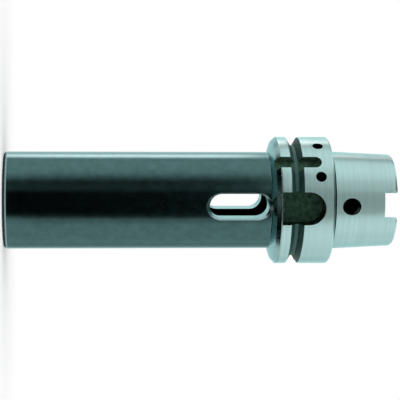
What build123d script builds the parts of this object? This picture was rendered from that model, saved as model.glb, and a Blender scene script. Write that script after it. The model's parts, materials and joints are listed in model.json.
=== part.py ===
from build123d import *
import math
import os

# Morse taper adapter: a hollow taper shank of size 63 with a face contact, and a
# No. 4 Morse socket with a drift slot in its cylindrical body. Millimetres.
# The piece stands on its nose: Z = 0 is the nose face, +Z runs up its axis to the
# shank, and -Y is the side of the narrow gripper slot.

# Cylindrical body and nose
body_diameter = 48.0
nose_to_contact = 160.0
nose_fillet = 2.0

# Flange, measured down from the contact face
flange_diameter = 63.0
flange_width = 26.0
flange_cone_drop = 3.8
flange_bevel = 2.0
flange_root_fillet = 0.6
rim_chamfer = 1.0
groove_from_contact = 18.0
groove_mouth = 6.3
groove_depth = 4.0
groove_half_angle = 30.0
groove_edge_break = 0.3

# Hollow taper shank, with a relief cut into both the taper and the contact face
shank_length = 32.0
taper_gauge_diameter = 48.010
taper_gauge_height = 6.3
taper_ratio = 9.98
relief_width = 1.6
relief_depth = 0.5
face_relief_width = 0.6
face_relief_depth = 0.3
lead_chamfer_height = 1.0
lead_chamfer_inset = 0.7

# Inside of the shank: an undercut within its wall, and a lip with the clamping cone,
# whose middle lies at the clamping height above the contact face
undercut_wall = 4.32
clamp_lip = 3.0
clamp_height = 18.13
clamp_angle = 30.0
cavity_mouth_chamfer = 1.2
cavity_floor_height = 2.6
undercut_chamfer = 0.8
coolant_thread_diameter = 17.0
coolant_thread_chamfer = 1.0
coolant_thread_depth = 12.0
coolant_hole_diameter = 8.0

# Driving slots across the end of the shank
drive_slot_width = 12.54
drive_slot_depth = 6.4
drive_slot_depth_back = 10.0
drive_slot_corner = 1.0
drive_slot_edge = 1.5

# Gripper slots, with depths measured in from the rim of the flange
gripper_slot_width = 16.0
gripper_slot_depth = 11.5
gripper_slot_land = 0.4
gripper_slot_width_back = 18.0
gripper_slot_depth_back = 5.0
gripper_slot_from_contact = 4.6

# Orientation slot, and the first and second balancing hole on either side of it
orientation_angle = 43.8
orientation_slot_width = 6.4
orientation_slot_depth = 4.0
orientation_slot_from_contact = 6.0
balance_hole_angle = 28.8
balance_hole_angle_second = 64.8
balance_hole_diameter = 5.2
balance_hole_depth = 8.0
balance_hole_from_contact = 6.8

# Data carrier hole, sunk below the root of the groove, and access holes in the shank
chip_hole_angle = 270.0
chip_hole_diameter = 10.0
chip_hole_sink = 0.6
access_hole_diameter = 7.5
access_hole_height = 9.4
access_hole_chamfer = 0.8

# Morse socket: the taper, and a plain bore that ends beyond the drift slot
socket_mouth_diameter = 31.267
socket_taper = 0.05194
socket_taper_length = 92.0
socket_mouth_chamfer = 0.8
bore_past_drift_slot = 5.1
drill_point_angle = 118.0

# Drift slot through the body
drift_slot_width = 12.2
drift_slot_start = 99.9
drift_slot_length = 29.0
drift_slot_chamfer = 0.8

# Derived sizes
body_radius = body_diameter / 2
flange_radius = flange_diameter / 2
contact = nose_to_contact
shank_end = contact + shank_length
flange_start = contact - flange_width
flange_root = flange_start - flange_cone_drop
groove_centre = contact - groove_from_contact
drift_slot_end = drift_slot_start + drift_slot_length
cut_clearance = 1.0


def taper_radius(height):
    """Outer radius of the shank at a height above the contact face."""
    return taper_gauge_diameter / 2 - (height - taper_gauge_height) / taper_ratio / 2


def socket_radius(depth):
    """Radius of the Morse socket at a depth below the nose face."""
    return (socket_mouth_diameter - socket_taper * depth) / 2


def cone_depth(radius, angle):
    """Length of a drilled point whose full angle is given, from its rim to its tip."""
    return radius / math.tan(math.radians(angle / 2))


def side_plane(angle, distance):
    """Plane across a radius, with local X round the piece and local Y up its axis.
    The angle is counted from -Y towards -X."""
    turn = math.radians(angle)
    outward = Vector(-math.sin(turn), -math.cos(turn), 0)
    along = Vector(math.cos(turn), -math.sin(turn), 0)
    return Plane(origin=outward * distance, x_dir=along, z_dir=outward)


def section_plane(angle, height):
    """Plane across the axis, with its local -Y pointing outwards at the same angle."""
    turn = math.radians(angle)
    along = Vector(math.cos(turn), -math.sin(turn), 0)
    return Plane(origin=(0, 0, height), x_dir=along, z_dir=(0, 0, 1))


def end_slot(width, bottom, top):
    """Sketch of a slot with a flat bottom end and a full round top end."""
    half = width / 2
    with BuildSketch() as outline:
        with BuildLine():
            Polyline((-half, top - half), (-half, bottom), (half, bottom), (half, top - half))
            ThreePointArc((half, top - half), (0, top), (-half, top - half))
        make_face()
    return outline.sketch


def corner_at(profile, radius, height):
    """Corner of a turned profile that lies nearest to a radius and a height."""
    return profile.vertices().sort_by_distance((radius, height))[0]


# The V of the groove: half its mouth, half its root, and its broken edges
groove_root = flange_radius - groove_depth
groove_slope = math.tan(math.radians(groove_half_angle))
mouth_half = groove_mouth / 2
root_half = mouth_half - groove_depth * groove_slope
break_inset = groove_edge_break * groove_slope

turned_outline = [
    (0, 0),
    (body_radius, 0),
    (body_radius, flange_root),
    (flange_radius - flange_bevel, flange_start - flange_bevel),
    (flange_radius, flange_start),
    (flange_radius, groove_centre - mouth_half - groove_edge_break),
    (flange_radius - groove_edge_break, groove_centre - mouth_half + break_inset),
    (groove_root, groove_centre - root_half),
    (groove_root, groove_centre + root_half),
    (flange_radius - groove_edge_break, groove_centre + mouth_half - break_inset),
    (flange_radius, groove_centre + mouth_half + groove_edge_break),
    (flange_radius, contact - rim_chamfer),
    (flange_radius - rim_chamfer, contact),
    (taper_radius(0) + face_relief_width, contact),
    (taper_radius(0) + face_relief_width - face_relief_depth, contact - face_relief_depth),
    (taper_radius(0) - relief_depth, contact - face_relief_depth),
    (taper_radius(0) - relief_depth, contact + relief_width - relief_depth),
    (taper_radius(relief_width), contact + relief_width),
    (taper_radius(shank_length - lead_chamfer_height), shank_end - lead_chamfer_height),
    (taper_radius(shank_length) - lead_chamfer_inset, shank_end),
    (0, shank_end),
]

bore_radius = socket_radius(socket_taper_length)
bore_end = drift_slot_end + bore_past_drift_slot
socket_outline = [
    (0, 0),
    (socket_radius(0) + socket_mouth_chamfer, 0),
    (socket_radius(socket_mouth_chamfer), socket_mouth_chamfer),
    (bore_radius, socket_taper_length),
    (bore_radius, bore_end),
    (0, bore_end + cone_depth(bore_radius, drill_point_angle)),
]

# The clamping cone spans the lip, half below and half above the clamping height
undercut_radius = taper_radius(0) - undercut_wall
cavity_radius = undercut_radius - clamp_lip
cone_half = clamp_lip / 2 / math.tan(math.radians(clamp_angle))
cone_low = contact + clamp_height - cone_half
cone_high = contact + clamp_height + cone_half
cavity_floor = contact + cavity_floor_height
thread_radius = coolant_thread_diameter / 2
thread_bottom = cavity_floor - coolant_thread_depth
cavity_outline = [
    (0, shank_end),
    (cavity_radius + cavity_mouth_chamfer, shank_end),
    (cavity_radius, shank_end - cavity_mouth_chamfer),
    (cavity_radius, cone_high),
    (undercut_radius, cone_low),
    (undercut_radius, cavity_floor),
    (thread_radius + coolant_thread_chamfer, cavity_floor),
    (thread_radius, cavity_floor - coolant_thread_chamfer),
    (thread_radius, thread_bottom),
    (0, thread_bottom - cone_depth(thread_radius, drill_point_angle)),
]

with BuildPart() as adapter_body:
    # Turned outside, one revolved outline from the nose to the end of the shank
    with BuildSketch(Plane.XZ) as outside:
        with BuildLine():
            Polyline(*turned_outline, close=True)
        make_face()
        fillet(corner_at(outside, body_radius, flange_root), flange_root_fillet)
        fillet(corner_at(outside, body_radius, 0), nose_fillet)
    revolve(axis=Axis.Z)

    # Morse socket, bored from the nose, and the clamping cavity, bored from the shank
    with BuildSketch(Plane.XZ):
        with BuildLine():
            Polyline(*socket_outline, close=True)
        make_face()
    revolve(axis=Axis.Z, mode=Mode.SUBTRACT)
    with BuildSketch(Plane.XZ) as cavity:
        with BuildLine():
            Polyline(*cavity_outline, close=True)
        make_face()
        chamfer(corner_at(cavity, undercut_radius, cavity_floor), undercut_chamfer)
    revolve(axis=Axis.Z, mode=Mode.SUBTRACT)

    # Coolant hole that joins the two bores
    with BuildSketch(Plane.XY.offset(bore_end)):
        Circle(coolant_hole_diameter / 2)
    extrude(amount=thread_bottom - bore_end, mode=Mode.SUBTRACT)

    # Drift slot straight through the body, with its long edges countersunk
    slot_middle = (drift_slot_start + drift_slot_end) / 2
    with BuildSketch(side_plane(0, 0)):
        with Locations((0, slot_middle)):
            SlotOverall(drift_slot_length, drift_slot_width, rotation=90)
    extrude(amount=body_radius + cut_clearance, both=True, mode=Mode.SUBTRACT)
    slot_edge_height = math.sqrt(body_radius**2 - (drift_slot_width / 2) ** 2)
    for side in (0, 180):
        with BuildSketch(side_plane(side, slot_edge_height - drift_slot_chamfer)):
            with Locations((0, slot_middle)):
                SlotOverall(drift_slot_length, drift_slot_width, rotation=90)
        extrude(amount=drift_slot_chamfer + cut_clearance, taper=-45, mode=Mode.SUBTRACT)

    # Gripper slots in the flange. The narrow one is a deep pocket that stops inside
    # the flange; the wide one passes over the body and is open towards the nose.
    slot_top = contact - gripper_slot_from_contact
    with BuildSketch(side_plane(0, flange_radius - gripper_slot_depth)):
        add(end_slot(gripper_slot_width, flange_start + gripper_slot_land, slot_top))
    extrude(amount=gripper_slot_depth + cut_clearance, mode=Mode.SUBTRACT)
    with BuildSketch(side_plane(180, flange_radius - gripper_slot_depth_back)):
        add(end_slot(gripper_slot_width_back, flange_root - cut_clearance, slot_top))
    extrude(amount=gripper_slot_depth_back + cut_clearance, mode=Mode.SUBTRACT)

    # Orientation slot, open towards the nose, and a blind hole on each side of it
    orientation_top = contact - orientation_slot_from_contact
    with BuildSketch(side_plane(orientation_angle, flange_radius - orientation_slot_depth)):
        add(end_slot(orientation_slot_width, flange_root - cut_clearance, orientation_top))
    extrude(amount=orientation_slot_depth + cut_clearance, mode=Mode.SUBTRACT)
    for hole_angle in (balance_hole_angle, balance_hole_angle_second):
        rim = side_plane(hole_angle, flange_radius).location
        mouth = rim * Location((0, contact - balance_hole_from_contact, 0))
        with Locations(mouth):
            Hole(balance_hole_diameter / 2, depth=balance_hole_depth)
        with Locations(mouth * Location((0, 0, -balance_hole_depth), (180, 0, 0))):
            Cone(
                balance_hole_diameter / 2,
                0,
                cone_depth(balance_hole_diameter / 2, drill_point_angle),
                align=(Align.CENTER, Align.CENTER, Align.MIN),
                mode=Mode.SUBTRACT,
            )

    # Round pocket for a data carrier, in the groove
    with BuildSketch(side_plane(chip_hole_angle, groove_root - chip_hole_sink)):
        with Locations((0, groove_centre)):
            Circle(chip_hole_diameter / 2)
    extrude(amount=groove_depth + chip_hole_sink + cut_clearance, mode=Mode.SUBTRACT)

    # Access holes through the wall of the shank, in line with the gripper slots
    access_height = contact + access_hole_height
    access_rim = taper_radius(access_hole_height)
    for side in (0, 180):
        with BuildSketch(side_plane(side, 0)):
            with Locations((0, access_height)):
                Circle(access_hole_diameter / 2)
        extrude(amount=flange_radius, mode=Mode.SUBTRACT)
        with BuildSketch(side_plane(side, access_rim - access_hole_chamfer)):
            with Locations((0, access_height)):
                Circle(access_hole_diameter / 2)
        extrude(amount=access_hole_chamfer + cut_clearance, taper=-45, mode=Mode.SUBTRACT)

    # Driving slots across the end of the shank, with rounded corners and flared edges
    half_slot = drive_slot_width / 2
    slot_rim = math.sqrt(taper_radius(shank_length) ** 2 - half_slot**2)
    flare_start = slot_rim - drive_slot_edge
    flare = drive_slot_edge + cut_clearance
    for side, depth in ((0, drive_slot_depth), (180, drive_slot_depth_back)):
        slot_floor = shank_end - depth
        with BuildSketch(side_plane(side, 0)):
            with Locations((0, slot_floor)):
                drive_slot = Rectangle(
                    drive_slot_width, depth + cut_clearance, align=(Align.CENTER, Align.MIN)
                )
            fillet(drive_slot.vertices().group_by(Axis.Y)[0], drive_slot_corner)
        extrude(amount=flange_radius, mode=Mode.SUBTRACT)
        with BuildSketch(section_plane(side, slot_floor)):
            with BuildLine():
                Polyline(
                    (-half_slot, -flare_start),
                    (-half_slot - flare, -flare_start - flare),
                    (half_slot + flare, -flare_start - flare),
                    (half_slot, -flare_start),
                    close=True,
                )
            make_face()
        extrude(amount=depth + cut_clearance, mode=Mode.SUBTRACT)

adapter_body.part.label = "adapter_body"

os.makedirs("parts", exist_ok=True)
export_step(adapter_body.part, "parts/adapter_body.step")
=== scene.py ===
# %% [markdown]
# # A Morse taper adapter in hardened steel
# The adapter holds a drill with a Morse taper shank in a machine spindle. One bar is turned
# on a lathe, bored from both ends, milled with slots and then ground. This lesson follows
# the same order: turn the blank, mill and drill it, give every surface its finish, and set
# up a studio that makes steel look like steel.

# %% Load the fixed frame
import json
import math

import bmesh
import bpy
from mathutils import Matrix, Vector


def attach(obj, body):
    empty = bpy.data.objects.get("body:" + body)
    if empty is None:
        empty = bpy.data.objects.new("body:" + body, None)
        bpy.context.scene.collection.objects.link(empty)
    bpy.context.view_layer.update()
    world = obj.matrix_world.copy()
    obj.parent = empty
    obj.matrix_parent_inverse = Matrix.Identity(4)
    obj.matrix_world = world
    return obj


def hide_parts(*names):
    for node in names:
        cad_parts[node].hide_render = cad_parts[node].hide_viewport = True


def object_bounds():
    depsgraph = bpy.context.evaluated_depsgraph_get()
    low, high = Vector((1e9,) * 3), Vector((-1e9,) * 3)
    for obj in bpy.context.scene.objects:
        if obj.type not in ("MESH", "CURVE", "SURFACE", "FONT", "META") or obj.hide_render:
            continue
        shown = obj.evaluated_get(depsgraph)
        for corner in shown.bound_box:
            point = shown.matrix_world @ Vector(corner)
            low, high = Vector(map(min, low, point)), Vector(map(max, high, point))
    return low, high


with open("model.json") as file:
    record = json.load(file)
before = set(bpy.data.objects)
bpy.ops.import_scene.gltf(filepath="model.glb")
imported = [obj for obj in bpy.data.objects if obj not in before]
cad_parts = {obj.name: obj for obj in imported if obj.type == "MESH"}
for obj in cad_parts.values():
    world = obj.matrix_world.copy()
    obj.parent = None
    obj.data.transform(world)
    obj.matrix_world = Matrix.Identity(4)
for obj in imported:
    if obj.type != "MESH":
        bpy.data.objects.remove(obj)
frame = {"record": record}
cad_low, cad_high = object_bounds()
print("CAD box in mm:", [round(1000 * (high - low), 2) for low, high in zip(cad_low, cad_high)])

# %% [markdown]
# ## Sizes
# Everything is in metres, so a millimetre is named once. The three sizes that the frame
# knows are read from it: the overall height, the flange and the plane of the contact face,
# which is the face that seats on the spindle. The rest are the adapter's own sizes.

# %% Driving sizes
MM = 0.001
mounts = {mount["name"]: Vector(mount["pos_m"]) for mount in frame["record"]["mounts"]}
shank_end = cad_high.z
flange_radius = cad_high.x
contact = mounts["contact_face"].z

body_radius = 24.0 * MM
nose_round = 2.0 * MM
flange_start = contact - 26.0 * MM
flange_root = flange_start - 3.8 * MM
flange_bevel = 2.0 * MM
milled_land = 0.6 * MM
root_fillet = 0.6 * MM
rim_chamfer = 1.0 * MM
groove_centre = contact - 18.0 * MM
groove_half_mouth = 3.15 * MM
groove_depth = 4.0 * MM
groove_slope = math.tan(math.radians(30.0))
groove_break = 0.3 * MM
groove_round = 0.3 * MM
print("height", round(shank_end / MM, 2), "contact face at", round(contact / MM, 2))

# %% [markdown]
# The shank is a short hollow cone that narrows by one part in 9.98. Its radius follows from
# its height above the contact face, and the Morse socket's radius from its depth, so each
# has its own small function.

# %% Tapers
shank_length = shank_end - contact
gauge_radius = 24.005 * MM
gauge_height = 6.3 * MM
taper_ratio = 9.98
socket_mouth_radius = 31.267 / 2 * MM
socket_taper = 0.05194
socket_length = 92.0 * MM


def shank_radius(height):
    """Outer radius of the shank at a height above the contact face."""
    return gauge_radius - (height - gauge_height) / taper_ratio / 2


def socket_radius(depth):
    """Radius of the Morse socket at a depth from the nose."""
    return socket_mouth_radius - socket_taper * depth / 2


print("shank end radius", round(shank_radius(shank_length) / MM, 3), "mm")
print("socket end radius", round(socket_radius(socket_length) / MM, 3), "mm")

# %% [markdown]
# ## The outline that the lathe follows
# A turned part is one outline swept round an axis. Because a coolant hole runs right
# through, the outline is a closed loop that never touches the axis: up the outside, over the
# end of the shank and back down through the bores. Each corner is given as radius, height,
# rounding and the finish of the surface that follows it.

# %% Outline of the outside
GROUND, OXIDE, GROOVE, POCKET, SHADED_BORE, MILLED = range(6)
edge = 0.15 * MM
half_root = groove_half_mouth - groove_depth * groove_slope
inset = groove_break * groove_slope
relief_width = 1.6 * MM
relief_depth = 0.5 * MM
relief_round = 0.2 * MM
relief_radius = shank_radius(0) - relief_depth
face_relief_width = 0.6 * MM
face_relief_depth = 0.3 * MM
lead_height = 1.0 * MM
lead_inset = 0.7 * MM
outside = [
    (body_radius, 0, nose_round, OXIDE),
    (body_radius, flange_root, root_fillet, MILLED),
    (flange_radius - flange_bevel, flange_start - flange_bevel, edge, MILLED),
    (flange_radius, flange_start, edge, MILLED),
    (flange_radius, flange_start + milled_land, 0, GROUND),
    (flange_radius, groove_centre - groove_half_mouth - groove_break, 0, GROUND),
    (flange_radius - groove_break, groove_centre - groove_half_mouth + inset, 0, GROOVE),
    (flange_radius - groove_depth, groove_centre - half_root, groove_round, GROOVE),
    (flange_radius - groove_depth, groove_centre + half_root, groove_round, GROOVE),
    (flange_radius - groove_break, groove_centre + groove_half_mouth - inset, 0, GROUND),
    (flange_radius, groove_centre + groove_half_mouth + groove_break, 0, GROUND),
    (flange_radius, contact - rim_chamfer, edge, GROUND),
    (flange_radius - rim_chamfer, contact, edge, GROUND),
    (shank_radius(0) + face_relief_width, contact, 0, SHADED_BORE),
    (shank_radius(0) + face_relief_width - face_relief_depth, contact - face_relief_depth, 0, SHADED_BORE),
    (relief_radius, contact - face_relief_depth, relief_round, SHADED_BORE),
    (relief_radius, contact + relief_width - relief_depth, relief_round, SHADED_BORE),
    (shank_radius(relief_width), contact + relief_width, edge, GROUND),
    (shank_radius(shank_length - lead_height), shank_end - lead_height, edge, GROUND),
    (shank_radius(shank_length) - lead_inset, shank_end, edge, GROUND),
]
print(len(outside), "corners outside")

# %% [markdown]
# The inside has the hollow that the spindle's fingers clamp in, with its 30 degree cone and
# its undercut, then the seat of the coolant thread, and the Morse socket with the plain bore
# that clears the tang. Drilled ends have the 118 degree point of a twist drill.

# %% Outline of the inside
undercut_wall = 4.32 * MM
undercut_chamfer = 0.8 * MM
undercut_round = 0.6 * MM
undercut_radius = shank_radius(0) - undercut_wall
clamp_lip = 3.0 * MM
clamp_angle = 30.0
clamp_height = contact + 18.13 * MM
cone_half = clamp_lip / 2 / math.tan(math.radians(clamp_angle))
cavity_radius = undercut_radius - clamp_lip
cavity_chamfer = 1.2 * MM
cavity_round = 0.3 * MM
cavity_floor = contact + 2.6 * MM
thread_chamfer = 1.0 * MM
socket_chamfer = 0.8 * MM
thread_radius = 8.5 * MM
thread_bottom = cavity_floor - 12.0 * MM
coolant_radius = 4.0 * MM
drift_start = 99.9 * MM
drift_end = drift_start + 29.0 * MM
bore_radius = socket_radius(socket_length)
bore_end = drift_end + 5.1 * MM
drill_point = 118.0
point_slope = math.tan(math.radians(drill_point / 2))
inside = [
    (cavity_radius + cavity_chamfer, shank_end, edge, GROUND),
    (cavity_radius, shank_end - cavity_chamfer, edge, SHADED_BORE),
    (cavity_radius, clamp_height + cone_half, cavity_round, SHADED_BORE),
    (undercut_radius, clamp_height - cone_half, undercut_round, SHADED_BORE),
    (undercut_radius, cavity_floor + undercut_chamfer, 0, SHADED_BORE),
    (undercut_radius - undercut_chamfer, cavity_floor, 0, SHADED_BORE),
    (thread_radius + thread_chamfer, cavity_floor, edge, SHADED_BORE),
    (thread_radius, cavity_floor - thread_chamfer, edge, SHADED_BORE),
    (thread_radius, thread_bottom, 0, SHADED_BORE),
    (coolant_radius, thread_bottom - (thread_radius - coolant_radius) / point_slope, 0, SHADED_BORE),
    (coolant_radius, bore_end + (bore_radius - coolant_radius) / point_slope, 0, SHADED_BORE),
    (bore_radius, bore_end, 0, SHADED_BORE),
    (bore_radius, socket_length, 0, GROUND),
    (socket_radius(socket_chamfer), socket_chamfer, edge, GROUND),
    (socket_radius(0) + socket_chamfer, 0, edge, MILLED),
]
print(len(inside), "corners inside")

# %% [markdown]
# Real corners are never perfectly sharp, and it is the tiny round on each edge that catches
# the light. This helper replaces a corner by a short arc that touches both of its sides.

# %% Round the corners of an outline
def rounded(corners, steps=3):
    """Points and finishes of a closed outline, with an arc at each corner that asks for one."""
    points, finishes = [], []
    for index, (radius, height, fillet, finish) in enumerate(corners):
        corner = Vector((radius, height))
        before = corners[index - 1]
        after = corners[(index + 1) % len(corners)]
        towards = [(Vector(side[:2]) - corner).normalized() for side in (before, after)]
        if not fillet:
            points.append(corner)
            finishes.append(finish)
            continue
        half = towards[0].angle(towards[1]) / 2
        middle = corner + (towards[0] + towards[1]).normalized() * fillet / math.sin(half)
        start, end = [corner + way * fillet / math.tan(half) for way in towards]
        arm, swing = start - middle, (start - middle).angle_signed(end - middle)
        for step in range(steps + 1):
            turn = Matrix.Rotation(-swing * step / steps, 2)
            points.append(middle + turn @ arm)
            finishes.append(finish if step == steps else corners[index - 1][3])
    return points, finishes


outline, outline_finishes = rounded(outside + inside)
print(len(outline), "points in the outline")

# %% [markdown]
# ## The lathe
# Turning is a rule, an outline carried round an axis, so Geometry Nodes do it. Curve to Mesh
# sweeps a profile along a path. The path is a circle of any radius, and the profile is drawn
# as its distance from that circle, so the swept mesh has the exact radii of the outline.

# %% Build the lathe
def node_tree(name, inputs):
    """A geometry node tree with named inputs, and its input and output nodes."""
    tree = bpy.data.node_groups.new(name, "GeometryNodeTree")
    tree.interface.new_socket("Geometry", in_out="OUTPUT", socket_type="NodeSocketGeometry")
    tree.interface.new_socket("Geometry", in_out="INPUT", socket_type="NodeSocketGeometry")
    for title, kind in inputs:
        tree.interface.new_socket(title, in_out="INPUT", socket_type=kind)
    return tree, tree.nodes.new("NodeGroupInput"), tree.nodes.new("NodeGroupOutput")


def lathe_tree():
    """Sweeps a closed profile curve round the Z axis."""
    tree, given, result = node_tree("lathe", [
        ("Path radius", "NodeSocketFloat"), ("Steps round", "NodeSocketInt"),
        ("Finish", "NodeSocketMaterial")])
    path = tree.nodes.new("GeometryNodeCurvePrimitiveCircle")
    sweep = tree.nodes.new("GeometryNodeCurveToMesh")
    real = tree.nodes.new("GeometryNodeRealizeInstances")
    finish = tree.nodes.new("GeometryNodeSetMaterial")
    link = tree.links.new
    link(given.outputs["Path radius"], path.inputs["Radius"])
    link(given.outputs["Steps round"], path.inputs["Resolution"])
    link(path.outputs["Curve"], sweep.inputs["Curve"])
    link(given.outputs["Geometry"], sweep.inputs["Profile Curve"])
    link(sweep.outputs["Mesh"], real.inputs["Geometry"])
    link(real.outputs["Geometry"], finish.inputs["Geometry"])
    link(given.outputs["Finish"], finish.inputs["Material"])
    link(finish.outputs["Geometry"], result.inputs["Geometry"])
    return tree


LATHE = lathe_tree()
print("lathe nodes:", len(LATHE.nodes))

# %% [markdown]
# A modifier's inputs are set by the identifier of each socket. The evaluated result is then
# copied into a plain mesh, and the modifier goes away with its helper object. Everything in
# the scene is an object in its collection, so one small helper adds them all.

# %% Run a tree and keep its mesh
def add_object(name, data):
    """A new object of a mesh, curve, camera or lamp, in the scene."""
    piece = bpy.data.objects.new(name, data)
    bpy.context.collection.objects.link(piece)
    return piece


def run_tree(source, tree, values):
    """The plain mesh that a geometry node tree makes from an object."""
    modifier = source.modifiers.new(tree.name, "NODES")
    modifier.node_group = tree
    for item in tree.interface.items_tree:
        if item.in_out == "INPUT" and item.name in values:
            modifier[item.identifier] = values[item.name]
    graph = bpy.context.evaluated_depsgraph_get()
    mesh = bpy.data.meshes.new_from_object(source.evaluated_get(graph))
    source.modifiers.remove(modifier)
    bpy.data.objects.remove(source)
    return mesh


def turn(name, points, finish, steps):
    """A turned mesh of a closed outline of radius and height."""
    path_radius = 20.0 * MM
    curve = bpy.data.curves.new(name, "CURVE")
    curve.dimensions = "3D"
    spline = curve.splines.new("POLY")
    spline.points.add(len(points) - 1)
    for place, (radius, height) in zip(spline.points, points):
        place.co = (radius - path_radius, -height, 0, 1)
    spline.use_cyclic_u = True
    return run_tree(add_object(name, curve), LATHE, {
        "Path radius": path_radius, "Steps round": steps, "Finish": finish})


# %% [markdown]
# ## Finishes
# Steel has no colour of its own to paint: what shows is the reflection of the room, tinted a
# little and blurred by the marks of the last tool. So every finish is one metallic shader
# whose tint, roughness and fine bump come from noise in Object coordinates. A Bevel node
# softens the light on edges that the milling cutters leave sharp.

# %% A metal finish
oil_roughness = 0.08
grain_detail = 5.0
grain_low, grain_high = 0.3, 0.7
mark_height = 0.02 * MM
quarter_turn = 0.25


def metal(name, light, dark, rough, scale, squash, bump, streak=0.0, metallic=1.0,
          edge_tint=(1, 1, 1), oil=0.0):
    """A steel surface that varies between two tints and two roughnesses."""
    material = bpy.data.materials.new(name)
    material.use_nodes = True
    nodes, link = material.node_tree.nodes, material.node_tree.links.new
    shader = nodes["Principled BSDF"]
    shader.inputs["Metallic"].default_value = metallic
    shader.inputs["Specular Tint"].default_value = (*edge_tint, 1)
    shader.inputs["Coat Weight"].default_value = oil
    shader.inputs["Coat Roughness"].default_value = oil_roughness
    shader.inputs["Anisotropic"].default_value = streak
    place = nodes.new("ShaderNodeTexCoord")
    stretch = nodes.new("ShaderNodeMapping")
    stretch.inputs["Scale"].default_value = squash
    grain = nodes.new("ShaderNodeTexNoise")
    grain.inputs["Scale"].default_value = scale
    grain.inputs["Detail"].default_value = grain_detail
    link(place.outputs["Object"], stretch.inputs["Vector"])
    link(stretch.outputs["Vector"], grain.inputs["Vector"])
    tint = nodes.new("ShaderNodeMix")
    tint.data_type = "RGBA"
    tint.inputs["A"].default_value = (*dark, 1)
    tint.inputs["B"].default_value = (*light, 1)
    contrast = nodes.new("ShaderNodeMapRange")
    contrast.inputs["From Min"].default_value = grain_low
    contrast.inputs["From Max"].default_value = grain_high
    link(grain.outputs["Fac"], contrast.inputs["Value"])
    link(contrast.outputs["Result"], tint.inputs["Factor"])
    link(tint.outputs["Result"], shader.inputs["Base Color"])
    blur = nodes.new("ShaderNodeMapRange")
    blur.inputs["To Min"].default_value = rough[0]
    blur.inputs["To Max"].default_value = rough[1]
    link(contrast.outputs["Result"], blur.inputs["Value"])
    link(blur.outputs["Result"], shader.inputs["Roughness"])
    soft = nodes.new("ShaderNodeBevel")
    soft.samples = 4
    soft.inputs["Radius"].default_value = edge
    relief = nodes.new("ShaderNodeBump")
    relief.inputs["Strength"].default_value = bump
    relief.inputs["Distance"].default_value = mark_height
    link(soft.outputs["Normal"], relief.inputs["Normal"])
    link(grain.outputs["Fac"], relief.inputs["Height"])
    link(relief.outputs["Normal"], shader.inputs["Normal"])
    if streak:
        shader.inputs["Anisotropic Rotation"].default_value = quarter_turn
        along = nodes.new("ShaderNodeTangent")
        along.direction_type = "RADIAL"
        along.axis = "Z"
        link(along.outputs["Tangent"], shader.inputs["Tangent"])
    return material


# %% [markdown]
# The six finishes, in the order in which the outline names them. The taper, the flange and
# the faces are ground: bright, with marks that run round the axis and smear reflections
# along it. The body is blackened and wears a thin film of oil, which is a clear coat. The
# groove keeps a grey scale from hardening and the pockets a darker one. The bores are turned
# and blackened, and their tint is darker still than blackened steel: painted shade for the
# depth of the holes. The drift slot and the bevel of the flange, with the first bit of its
# rim, are satin steel, cut after hardening.

# %% The six finishes of the adapter
finishes = [
    metal("ground_steel", (0.515, 0.770, 0.750), (0.460, 0.690, 0.670), (0.32, 0.34), 900.0,
          (0.02, 0.02, 1.0), 0.006, streak=0.9, edge_tint=(0.75, 1.0, 1.0)),
    metal("black_oxide", (0.072, 0.163, 0.162), (0.053, 0.123, 0.122), (0.12, 0.15), 500.0,
          (0.5, 0.5, 0.5), 0.03, edge_tint=(0.72, 1.0, 1.0), oil=0.25),
    metal("hardening_scale", (0.115, 0.23, 0.215), (0.080, 0.165, 0.155), (0.55, 0.70), 420.0,
          (1, 1, 1), 0.3),
    metal("dark_scale", (0.050, 0.086, 0.062), (0.006, 0.012, 0.008), (0.50, 0.65), 400.0,
          (1, 1, 1), 0.5, metallic=0.0, edge_tint=(0.3, 1.0, 0.6)),
    # Darker than blackened steel: the bores' tint holds painted shade for the inside of the holes.
    metal("blackened_bore_painted_shade", (0.009, 0.013, 0.0125), (0.004, 0.007, 0.0065), (0.30, 0.40), 900.0,
          (0.02, 0.02, 1.0), 0.10),
    metal("milled_steel", (0.38, 0.56, 0.56), (0.32, 0.48, 0.48), (0.20, 0.28), 1200.0,
          (1.0, 1.0, 0.3), 0.10, edge_tint=(0.70, 1.0, 1.0)),
]
print("finishes:", [material.name for material in finishes])

# %% [markdown]
# The blank comes off the lathe. Curve to Mesh makes its faces in the order of the outline,
# once for each step round, so a face's number gives the edge of the outline that it came
# from, and with it the finish.

# %% Turn the blank
STEPS_ROUND = 320
blank = turn("blank", outline, finishes[GROUND], STEPS_ROUND)
blank.materials.clear()
for material in finishes:
    blank.materials.append(material)
for face in blank.polygons:
    face.material_index = outline_finishes[face.index % len(outline)]
print("blank:", len(blank.polygons), "faces")

# %% [markdown]
# ## Milling cutters
# A milled slot is the shape of the metal that is missing. Each cutter here is a closed solid
# lofted between outlines that lie across a radius of the adapter. Where the last outline is
# larger, the cut has a chamfered mouth.

# %% Outlines of cutters
hole_steps = 64
end_steps = 32
corner_steps = 6


def arc(centre, radius, start, end, steps):
    """Points of an arc, with angles in degrees."""
    turns = [math.radians(start + (end - start) * step / steps) for step in range(steps + 1)]
    return [(centre[0] + radius * math.cos(t), centre[1] + radius * math.sin(t)) for t in turns]


def round_hole(radius, height):
    """A circle at a height."""
    last = hole_steps - 1
    return arc((0, height), radius, 0, 360 * last / hole_steps, last)


def round_slot(width, low, high, grow=0.0):
    """A slot with two round ends."""
    half = width / 2
    return (arc((0, high - half), half + grow, 0, 180, end_steps)
            + arc((0, low + half), half + grow, 180, 360, end_steps))


def flat_slot(width, low, high):
    """A slot with a flat low end and a round high end."""
    half = width / 2
    return [(half, low)] + arc((0, high - half), half, 0, 180, end_steps) + [(-half, low)]


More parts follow.
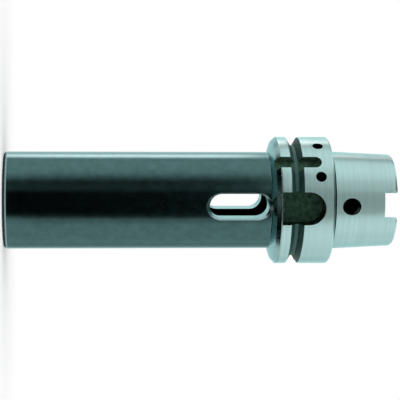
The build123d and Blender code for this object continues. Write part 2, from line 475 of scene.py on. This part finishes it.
def key_slot(width, low, high, corner, grow=0.0):
    """A slot that is open upwards, with small round corners at its floor."""
    half = width / 2
    floor = arc((half - corner, low + corner), corner, 270, 360, corner_steps)
    floor = [(x + grow, y) for x, y in floor]
    top = [(-half - grow, high), (half + grow, high)]
    return [(-x, y) for x, y in floor] + top + floor[::-1]


print("points in a round slot:", len(round_slot(2 * MM, 0, 8 * MM)))

# %% [markdown]
# The next helper joins such outlines into a closed solid. It can give each band of the
# cutter's wall a finish of its own, which the metal keeps after the cut: a gripper slot has
# a scaled floor, but its walls take the dark bore finish, whose darkness is partly painted shade.

# %% Make a cutter
def mill(name, angle, sections, finish):
    """A closed cutter through outlines at growing distances along a radius.
    The angle is counted from the front, -Y, towards -X. The finish is one for the whole
    cutter, or a list with one for the floor and one for each band between outlines."""
    way = math.radians(angle)
    outward = Vector((-math.sin(way), -math.cos(way), 0))
    sideways = Vector((math.cos(way), -math.sin(way), 0))
    shape = bmesh.new()
    rings = []
    for distance, points in sections:
        rings.append([shape.verts.new(outward * distance + sideways * x + Vector((0, 0, y)))
                      for x, y in points])
    bands = finish if isinstance(finish, list) else [finish] * len(rings)
    for low, high, band in zip(rings, rings[1:], bands[1:]):
        for index in range(len(low)):
            corner = (index + 1) % len(low)
            wall = shape.faces.new((low[index], low[corner], high[corner], high[index]))
            wall.material_index = band
    shape.faces.new(rings[0]).material_index = bands[0]
    shape.faces.new(rings[-1]).material_index = bands[-1]
    bmesh.ops.recalc_face_normals(shape, faces=shape.faces)
    mesh = bpy.data.meshes.new(name)
    shape.to_mesh(mesh)
    shape.free()
    for material in finishes:
        mesh.materials.append(material)
    return add_object(name, mesh)


# %% [markdown]
# The drift slot lets a wedge in behind the tang of the drill to knock it out. It runs
# straight through the body, and both of its long mouths are countersunk.

# %% Drift slot
outer = 2.0 * MM
drift_width = 12.2 * MM
drift_chamfer = 0.8 * MM
mouth = math.sqrt(body_radius**2 - (drift_width / 2) ** 2) - drift_chamfer
wide = round_slot(drift_width, drift_start, drift_end, drift_chamfer + outer)
plain = round_slot(drift_width, drift_start, drift_end)
cutters = [mill("drift_slot", 0, [
    (-mouth - drift_chamfer - outer, wide), (-mouth, plain), (mouth, plain),
    (mouth + drift_chamfer + outer, wide)], MILLED)]
print("drift slot", round((drift_end - drift_start) / MM, 1), "mm long")

# %% [markdown]
# The tool changer's fingers find the adapter by two slots in the flange, a narrow deep one in
# front and a wide shallow one behind, and a small orientation slot tells which way round it
# is. The deep one stops just inside the flange.

# %% Slots in the flange
slot_top = contact - 4.6 * MM
slot_land = 0.4 * MM
past_root = flange_root - MM
past_rim = flange_radius + outer
front_slot = flat_slot(16.0 * MM, flange_start + slot_land, slot_top)
back_slot = flat_slot(18.0 * MM, past_root, slot_top)
orientation_slot = flat_slot(6.4 * MM, past_root, contact - 6.0 * MM)
flange_slots = [
    ("front_gripper_slot", 0, 11.5 * MM, front_slot, [POCKET, SHADED_BORE]),
    ("back_gripper_slot", 180, 5.0 * MM, back_slot, [POCKET, SHADED_BORE]),
    ("orientation_slot", 43.8, 4.0 * MM, orientation_slot, POCKET),
]
for name, angle, depth, points, finish in flange_slots:
    sections = [(flange_radius - depth, points), (past_rim, points)]
    cutters.append(mill(name, angle, sections, finish))
print("cutters so far:", len(cutters))

# %% [markdown]
# The end of the shank has two driving slots for the keys of the spindle, the back one deeper
# so that the adapter fits only one way round. Their long edges are broken by a chamfer.

# %% Driving slots
key_width = 12.54 * MM
key_edge = 1.5 * MM
key_corner = 1.0 * MM
key_start = 10.0 * MM
end_rim = math.sqrt(shank_radius(shank_length) ** 2 - (key_width / 2) ** 2) - key_edge
for name, angle, depth in (("front_key_slot", 0, 6.4 * MM), ("back_key_slot", 180, 10.0 * MM)):
    floor, top = shank_end - depth, shank_end + MM
    narrow = key_slot(key_width, floor, top, key_corner)
    flared = key_slot(key_width, floor, top, key_corner, key_edge + outer)
    cutters.append(mill(name, angle, [
        (key_start, narrow), (end_rim, narrow), (end_rim + key_edge + outer, flared)], GROUND))
print("cutters so far:", len(cutters))

# %% [markdown]
# ## The dividing head
# Holes that repeat round the axis are drilled with a dividing head, which turns the part by
# an angle and locks it. The tree below is that tool: it copies one cutter round the Z axis.
# Realize Instances makes the copies real, because a Boolean needs real faces.

# %% Build the dividing head
def dividing_tree():
    """Copies a mesh round the Z axis, from a first angle and by an angle each time."""
    tree, given, result = node_tree("dividing_head", [
        ("Count", "NodeSocketInt"), ("First angle", "NodeSocketFloat"),
        ("Angle between", "NodeSocketFloat"), ("Finish", "NodeSocketMaterial")])
    new, link = tree.nodes.new, tree.links.new
    points, index = new("GeometryNodePoints"), new("GeometryNodeInputIndex")
    angle, turned = new("ShaderNodeMath"), new("ShaderNodeCombineXYZ")
    copies = new("GeometryNodeInstanceOnPoints")
    real, finish = new("GeometryNodeRealizeInstances"), new("GeometryNodeSetMaterial")
    angle.operation = "MULTIPLY_ADD"
    link(given.outputs["Count"], points.inputs["Count"])
    link(index.outputs["Index"], angle.inputs[0])
    link(given.outputs["Angle between"], angle.inputs[1])
    link(given.outputs["First angle"], angle.inputs[2])
    link(angle.outputs["Value"], turned.inputs["Z"])
    link(points.outputs["Geometry"], copies.inputs["Points"])
    link(given.outputs["Geometry"], copies.inputs["Instance"])
    link(turned.outputs["Vector"], copies.inputs["Rotation"])
    link(copies.outputs["Instances"], real.inputs["Geometry"])
    link(real.outputs["Geometry"], finish.inputs["Geometry"])
    link(given.outputs["Finish"], finish.inputs["Material"])
    link(finish.outputs["Geometry"], result.inputs["Geometry"])
    return tree


DIVIDING_HEAD = dividing_tree()


def divide(cutter, count, first, between, finish):
    """A cutter object with copies of a cutter, whose angles run from -Y towards -X."""
    name = cutter.name
    mesh = run_tree(cutter, DIVIDING_HEAD, {
        "Count": count, "First angle": -math.radians(first),
        "Angle between": -math.radians(between), "Finish": finishes[finish]})
    print(name + "s have", len(mesh.polygons), "faces")
    return add_object(name + "s", mesh)


# %% [markdown]
# Two blind holes beside the orientation slot balance the adapter at speed. Two holes through
# the shank let a key reach the clamping unit. A shallow round pocket in the groove takes a
# data chip.

# %% Drilled holes
hole_height = contact - 6.8 * MM
hole_radius = 2.6 * MM
tip_radius = 0.05 * MM
hole_floor = flange_radius - 8.0 * MM
balance = mill("balance_hole", 0, [
    (hole_floor - hole_radius / point_slope, round_hole(tip_radius, hole_height)),
    (hole_floor, round_hole(hole_radius, hole_height)),
    (past_rim, round_hole(hole_radius, hole_height))], SHADED_BORE)
cutters.append(divide(balance, 2, 28.8, 36.0, SHADED_BORE))

access_from_contact = 9.4 * MM
access_radius = 3.75 * MM
access_break = 0.8 * MM
access_start = 2.0 * MM
access_rim = shank_radius(access_from_contact) - access_break
access_height = contact + access_from_contact
access = mill("access_hole", 0, [
    (access_start, round_hole(access_radius, access_height)),
    (access_rim, round_hole(access_radius, access_height)),
    (access_rim + outer, round_hole(access_radius + outer, access_height))], SHADED_BORE)
cutters.append(divide(access, 2, 0, 180, SHADED_BORE))

chip_radius = 5.0 * MM
chip_sink = 0.6 * MM
chip = round_hole(chip_radius, groove_centre)
chip_floor = flange_radius - groove_depth - chip_sink
cutters.append(mill("chip_pocket", 270, [(chip_floor, chip), (past_rim, chip)], POCKET))

# %% [markdown]
# ## Cut the blank
# One Boolean modifier takes every cutter away from the blank, and hands each cut face the
# cutter's own finish. The cutters are joined first, which is allowed because no two of them
# touch.

# %% Cut
def join_meshes(name, objects):
    """One object with the faces of several, whose material slots are alike."""
    shape = bmesh.new()
    for piece in objects:
        first = len(shape.faces)
        shape.from_mesh(piece.data)
        shape.faces.ensure_lookup_table()
        if len(piece.data.materials) == 1:
            slot = finishes.index(piece.data.materials[0])
            for face in shape.faces[first:]:
                face.material_index = slot
        bpy.data.objects.remove(piece)
    mesh = bpy.data.meshes.new(name)
    shape.to_mesh(mesh)
    shape.free()
    for material in finishes:
        mesh.materials.append(material)
    return add_object(name, mesh)


rough_part = add_object("rough_part", blank)
cutter = join_meshes("cutter", cutters)
cut = rough_part.modifiers.new("cut", "BOOLEAN")
cut.operation, cut.solver, cut.material_mode = "DIFFERENCE", "EXACT", "TRANSFER"
cut.object = cutter
graph = bpy.context.evaluated_depsgraph_get()
mesh = bpy.data.meshes.new_from_object(rough_part.evaluated_get(graph))
bpy.data.objects.remove(rough_part)
bpy.data.objects.remove(cutter)
print("cut part:", len(mesh.polygons), "faces,", [m.name for m in mesh.materials])

# %% [markdown]
# ## Shading
# Faces that meet at less than 35 degrees shade as one smooth surface, and sharper edges stay
# crisp. Weighted normals let the large faces win, so the small arcs at the corners don't
# bend the light on the long cylinders beside them.

# %% Finish the mesh
merge_distance = 0.001 * MM
smooth_angle = 35.0
shape = bmesh.new()
shape.from_mesh(mesh)
bmesh.ops.remove_doubles(shape, verts=shape.verts, dist=merge_distance)
print("open edges:", sum(1 for side in shape.edges if len(side.link_faces) != 2))
print("volume in cm3:", round(shape.calc_volume() * 1e6, 2))
shape.to_mesh(mesh)
shape.free()
mesh.polygons.foreach_set("use_smooth", [True] * len(mesh.polygons))
mesh.set_sharp_from_angle(angle=math.radians(smooth_angle))
mesh.name = "steel_adapter"
adapter = add_object("steel_adapter", mesh)
weight = adapter.modifiers.new("weighted_normals", "WEIGHTED_NORMAL")
weight.keep_sharp = True
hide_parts("adapter_body")
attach(adapter, "root")

# %% [markdown]
# ## The studio
# A shiny part shows the room, so the room is designed. The camera comes first, because the
# room is laid out from it. It looks at the part from the front with the part lying on its
# side in the picture, nose to the left, so the camera itself is turned by a right angle.

# %% Camera
camera_angle = 8.0
camera_distance = 767.5 * MM
camera_height = 38.7 * MM
camera_tilt = 4.33
frame_pixels = 400
focal_pixels = 1547.3
lens = bpy.data.cameras.new("camera")
lens.sensor_width = 36.0
lens.lens = focal_pixels / frame_pixels * lens.sensor_width
lens.clip_end = 50.0
camera = add_object("camera", lens)
way = math.radians(camera_angle)
side = Vector((-math.sin(way), -math.cos(way), 0))
camera.location = side * camera_distance + Vector((0, 0, camera_height))
tilt = math.radians(camera_tilt)
back = side * math.cos(tilt) - Vector((0, 0, 1)) * math.sin(tilt)
right = Vector((0, 0, 1)) * math.cos(tilt) + side * math.sin(tilt)
up = back.cross(right)
camera.rotation_euler = Matrix((right, up, back)).transposed().to_euler()
bpy.context.scene.camera = camera
print("lens", round(lens.lens, 1), "mm")

# %% [markdown]
# Cards and cloths shine by themselves, so their material is only an Emission node, and a
# function works out its light. They are hidden from the camera and cast no shadow, so only
# the reflections in the steel show them.

# %% Things that only reflections see
def glow(name, build):
    """A material whose light is worked out by nodes."""
    material = bpy.data.materials.new(name)
    material.use_nodes = True
    nodes = material.node_tree.nodes
    nodes.remove(nodes["Principled BSDF"])
    light = nodes.new("ShaderNodeEmission")
    material.node_tree.links.new(light.outputs[0], nodes["Material Output"].inputs["Surface"])
    build(material.node_tree, light)
    return material


def only_reflections(piece):
    """Leaves a piece of the studio visible to reflections alone."""
    piece.visible_camera = False
    piece.visible_diffuse = False
    piece.visible_shadow = False
    piece.visible_transmission = False
    piece.visible_volume_scatter = False


# %% [markdown]
# The tent is a tall drum of cloth, far away, so that every part of the steel sees it in the
# same direction. Its brightness follows the angle round the part, counted from the camera, in
# three rows. The smooth body mirrors only the level row: the peak there is a slightly warm
# strip lamp, and the dark stretch is the camera's side of the room. The ground flange and
# shank blur all three rows together, so the rows above and below soften the dark stretch and
# hold the lamp back. The lamp itself ends a little below the top of its row.

# %% Brightness round the room
tent_radius = 3.0
tent_bottom, tent_top = -1.5, 2.5
brightest = 4.5
level_row = [
    (-150, 1.0), (-142, 1.3), (-136, 2.4), (-129, 3.9), (-124, 3.2), (-119, 1.5), (-114, 0.82),
    (-109, 0.80), (-103, 0.95), (-85, 0.97), (-76, 0.92), (-66, 0.81), (-60, 0.55), (-51, 0.25),
    (-46, 0.11), (-41, 0.07), (-28, 0.10), (-16, 0.012), (28, 0.012), (37, 0.045), (41, 0.12),
    (47, 0.49), (54, 0.59), (61, 0.80), (75, 0.83), (95, 0.82), (110, 0.79), (119, 0.78),
    (126, 0.58), (142, 0.52), (152, 0.67), (162, 1.0)]
lower_row = [
    (-150, 0.80), (-141, 0.35), (-134, 0.05), (-120, 0.05), (-113, 0.55), (-108, 0.85),
    (-97, 0.90), (-61, 0.97), (-51, 0.97), (-46, 0.25), (-25, 0.15), (-18, 0.0), (33, 0.0),
    (37, 0.30), (41, 1.0), (55, 0.98), (80, 0.90), (100, 0.80)]
upper_row = [
    (-150, 0.80), (-141, 0.35), (-134, 0.10), (-124, 0.15), (-117, 0.45), (-108, 0.85),
    (-97, 0.90), (-61, 0.97), (-45, 0.95), (-24, 0.88), (-17, 0.67), (33, 0.67), (40, 0.95),
    (55, 0.95), (80, 0.90), (100, 0.80)]
level_start = (-0.24, -0.17)
level_end = (0.51, 0.58)
lamp_end = (0.40, 0.52)
lamp_tint = (1.35, 1.0, 1.0)


def room_light(tree, light):
    """Brightness by the angle round the part from the camera, and by height."""
    nodes, link = tree.nodes, tree.links.new

    def sum_node(kind, *terms):
        node = nodes.new("ShaderNodeMath")
        node.operation = kind
        for socket, value in zip(node.inputs, terms):
            if isinstance(value, float):
                socket.default_value = value
            else:
                link(value, socket)
        return node.outputs["Value"]

    def fade(height, start, end):
        node = nodes.new("ShaderNodeMapRange")
        node.inputs["From Min"].default_value = start
        node.inputs["From Max"].default_value = end
        link(height, node.inputs["Value"])
        return node.outputs["Result"]

    def blend(factor, first, second):
        node = nodes.new("ShaderNodeMix")
        for name, value in (("Factor", factor), ("A", first), ("B", second)):
            link(value, node.inputs[name])
        return node.outputs["Result"]

    place = nodes.new("ShaderNodeTexCoord")
    turned = nodes.new("ShaderNodeMapping")
    turned.inputs["Rotation"].default_value = (0, 0, way)
    parts = nodes.new("ShaderNodeSeparateXYZ")
    link(place.outputs["Object"], turned.inputs["Vector"])
    link(turned.outputs["Vector"], parts.inputs["Vector"])
    height = parts.outputs["Z"]
    towards = sum_node("MULTIPLY", parts.outputs["Y"], -1.0)
    angle = sum_node("ARCTAN2", parts.outputs["X"], towards)
    turn = fade(angle, -math.pi, math.pi)
    rows = []
    for marks in (lower_row, level_row, upper_row):
        around = nodes.new("ShaderNodeValToRGB")
        stops = around.color_ramp.elements
        while len(stops) < len(marks):
            stops.new(0.5)
        for stop, (degrees, level) in zip(stops, marks):
            stop.position = (degrees + 180) / 360
            stop.color = [level / brightest] * 3 + [1]
        link(turn, around.inputs["Fac"])
        rows.append(sum_node("MULTIPLY", around.outputs["Color"], brightest))
    level = blend(fade(height, *lamp_end), rows[1], sum_node("MINIMUM", rows[1], 1.0))
    level = blend(fade(height, *level_start), rows[0], level)
    level = blend(fade(height, *level_end), level, rows[2])
    warmth = nodes.new("ShaderNodeMix")
    warmth.data_type = "RGBA"
    warmth.inputs["A"].default_value = (1, 1, 1, 1)
    warmth.inputs["B"].default_value = (*lamp_tint, 1)
    link(fade(level, 1.0, 2.0), warmth.inputs["Factor"])
    link(warmth.outputs["Result"], light.inputs["Color"])
    link(level, light.inputs["Strength"])


print("marks round the room:", len(lower_row) + len(level_row) + len(upper_row))

# %% [markdown]
# The drum reaches below the floor, which reflections don't see, so steel that looks down sees
# more of the same room.

# %% Light tent
wall = bmesh.new()
tent_height = tent_top - tent_bottom
tent_middle = Matrix.Translation((0, 0, tent_bottom + tent_height / 2))
bmesh.ops.create_cone(wall, segments=128, radius1=tent_radius, radius2=tent_radius,
                      depth=tent_height, matrix=tent_middle)
wall_mesh = bpy.data.meshes.new("light_tent")
wall.to_mesh(wall_mesh)
wall.free()
wall_mesh.materials.append(glow("room_cloth", room_light))
only_reflections(add_object("light_tent", wall_mesh))

# %% [markdown]
# Flat cards finish the room. A black one hangs over the part, so that slots and hollows that
# face up stay dark. The tent's bottom is a pale one, and a black one just above it darkens
# the bevel of the flange, which looks straight down. Under the rounded nose lie a dark disc
# and a grey ring, painted reflections of the floor's shadow under the nose and of the half-lit
# floor around it, which give the nose its dark and its light line.

# %% Cards
def grey(level):
    """A function that gives a card one even brightness."""
    def build(tree, light):
        light.inputs["Strength"].default_value = level
    return build


def card(name, height, across, along, offset, inner, material):
    """A flat ring or disc that only reflections see, long towards the camera."""
    points, faces, steps = [], [], 96
    towards = Matrix.Rotation(-way, 3, "Z")
    for step in range(steps):
        turn = 2 * math.pi * step / steps
        x, y = math.sin(turn), math.cos(turn)
        for half_x, half_y, shift in ((inner, inner, 0), (across, along, offset)):
            points.append(towards @ Vector((x * half_x, y * half_y + shift, height)))
    for step in range(steps):
        first, after = 2 * step, 2 * ((step + 1) % steps)
        faces.append((first, first + 1, after + 1, after))
    mesh = bpy.data.meshes.new(name)
    mesh.from_pydata(points, [], faces)
    mesh.materials.append(material)
    only_reflections(add_object(name, mesh))


pin_hole = 0.1 * MM
above_floor = 0.02 * MM
shade_inner, shade_outer, ring_outer = 17 * MM, 25 * MM, 40 * MM
black_card = glow("black_card", grey(0.0))
pale_card = glow("pale_card", grey(0.85))
# The dark and the grey card paint the floor's shadow round the nose, for reflections only.
painted_contact_shadow_card = glow("painted_contact_shadow_card", grey(0.06))
painted_shaded_floor_card = glow("painted_shaded_floor_card", grey(0.6))
card("ceiling_card", 2.4, 1.15, 2.14, 0, pin_hole, black_card)
card("low_card", -1.4, 1.7, 1.3, 0.2, pin_hole, black_card)
card("tent_bottom", tent_bottom, tent_radius, tent_radius, 0, pin_hole, pale_card)
# Painted shadow: this disc stands in for the floor's shadow under the nose in reflections.
card("painted_nose_shadow", above_floor, shade_outer, shade_outer, 0, shade_inner, painted_contact_shadow_card)
card("painted_floor_ring", above_floor, ring_outer, ring_outer, 0, shade_outer, painted_shaded_floor_card)

# %% [markdown]
# ## Floor, world and lamps
# The floor is plain and pale, and wide enough to reach the horizon from every side. It takes
# the part's shadow, but reflections look through it to the tent.

# %% Floor
floor_half = 20.0
floor_mesh = bpy.data.meshes.new("floor")
floor_mesh.from_pydata([(-floor_half, -floor_half, 0), (floor_half, -floor_half, 0),
                        (floor_half, floor_half, 0), (-floor_half, floor_half, 0)],
                       [], [(0, 1, 2, 3)])
pale = bpy.data.materials.new("pale_floor")
pale.use_nodes = True
surface = pale.node_tree.nodes["Principled BSDF"]
surface.inputs["Base Color"].default_value = (1, 1, 1, 1)
surface.inputs["Roughness"].default_value = 0.9
surface.inputs["Specular IOR Level"].default_value = 0.0
floor_mesh.materials.append(pale)
floor = add_object("floor", floor_mesh)
floor.visible_glossy = False

# %% [markdown]
# Rays from the camera see the world at its full white, so the background is plain, and so
# do those that a shiny or a clear surface sends on. All others carry light to the floor and
# the part, and they get a little less, which leaves room for the lamps.

# %% World
world = bpy.data.worlds.new("white_room")
world.use_nodes = True
bpy.context.scene.world = world
nodes, link = world.node_tree.nodes, world.node_tree.links.new
background = nodes["Background"]
background.inputs["Color"].default_value = (1, 1, 1, 1)
rays = nodes.new("ShaderNodeLightPath")
full_white = rays.outputs["Is Camera Ray"]
for kind in ("Is Glossy Ray", "Is Transmission Ray"):
    either = nodes.new("ShaderNodeMath")
    either.operation = "MAXIMUM"
    link(full_white, either.inputs[0])
    link(rays.outputs[kind], either.inputs[1])
    full_white = either.outputs["Value"]
strength = nodes.new("ShaderNodeMapRange")
strength.inputs["To Min"].default_value = 0.78
strength.inputs["To Max"].default_value = 1.0
link(full_white, strength.inputs["Value"])
link(strength.outputs["Result"], background.inputs["Strength"])

# %% [markdown]
# Two suns with a wide disc stand in for soft boxes. Their shadows are so soft that only a
# faint shade stays where the part meets the floor.

# %% Lamps
def soft_sun(name, strength, tilt_deg, turn_deg):
    """A wide sun lamp, which lights the whole floor evenly."""
    lamp = bpy.data.lights.new(name, "SUN")
    lamp.energy = strength
    lamp.angle = math.radians(60)
    sun = add_object(name, lamp)
    sun.rotation_euler = (math.radians(tilt_deg), 0, math.radians(turn_deg))
    sun.visible_glossy = False


soft_sun("soft_sun_left", 0.55, 35, -60)
soft_sun("soft_sun_right", 0.45, 40, 70)

# %% [markdown]
# ## Colours
# Colours should render as they are written, so the view transform is Standard.

# %% Finish
bpy.context.scene.view_settings.view_transform = "Standard"
